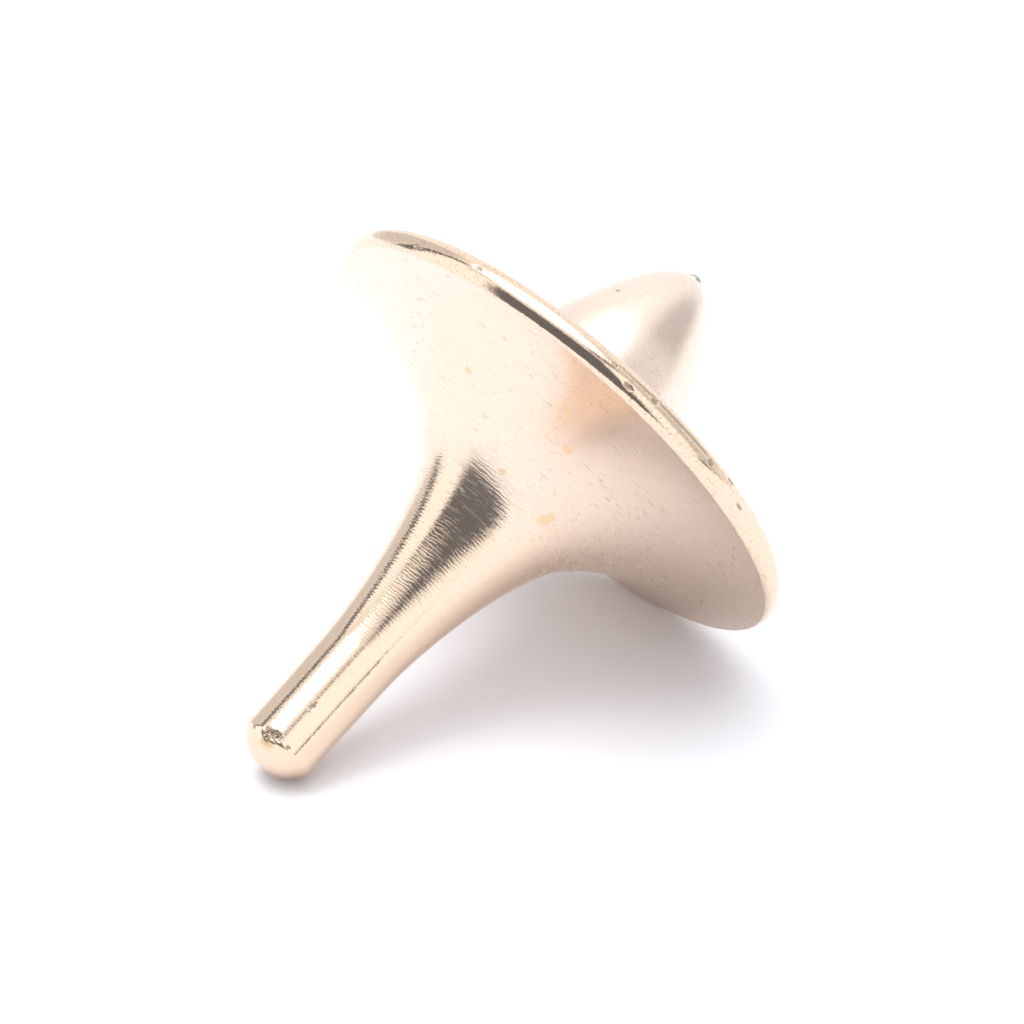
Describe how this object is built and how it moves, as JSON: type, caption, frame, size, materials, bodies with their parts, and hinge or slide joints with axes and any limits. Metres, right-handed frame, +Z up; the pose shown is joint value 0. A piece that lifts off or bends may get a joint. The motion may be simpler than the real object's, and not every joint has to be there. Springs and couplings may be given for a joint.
{
  "type": "spinning top",
  "caption": "Turned metal spinning top with a slim stem flaring into a thin disc, a rounded bulb behind it and a small steel ball tip, lying on its side.",
  "frame": {"origin": "on the floor under the middle of the bounding box of the top as it lies on its side", "axes": "+Z is up from the floor; the spin axis lies in the YZ plane, 30 degrees from the floor, with the stem end down towards -Y and the ball tip up towards +Y"},
  "size_m": [0.03, 0.0312, 0.0262],
  "materials": {
    "gold_metal": "pale champagne gold metal, satin with fine rings on the disc and bulb, polished on the rim and stem",
    "steel": "polished bearing steel"
  },
  "bodies": {
    "tip": {"tip_ball": "steel"},
    "top": {"body": "gold_metal"}
  },
  "joints": [
    {"name": "spin", "type": "hinge", "parent": "tip", "child": "top", "pos_m": [0, 0.01515, 0.01894], "axis": [0, -0.8637, -0.504], "continuous": true}
  ]
}
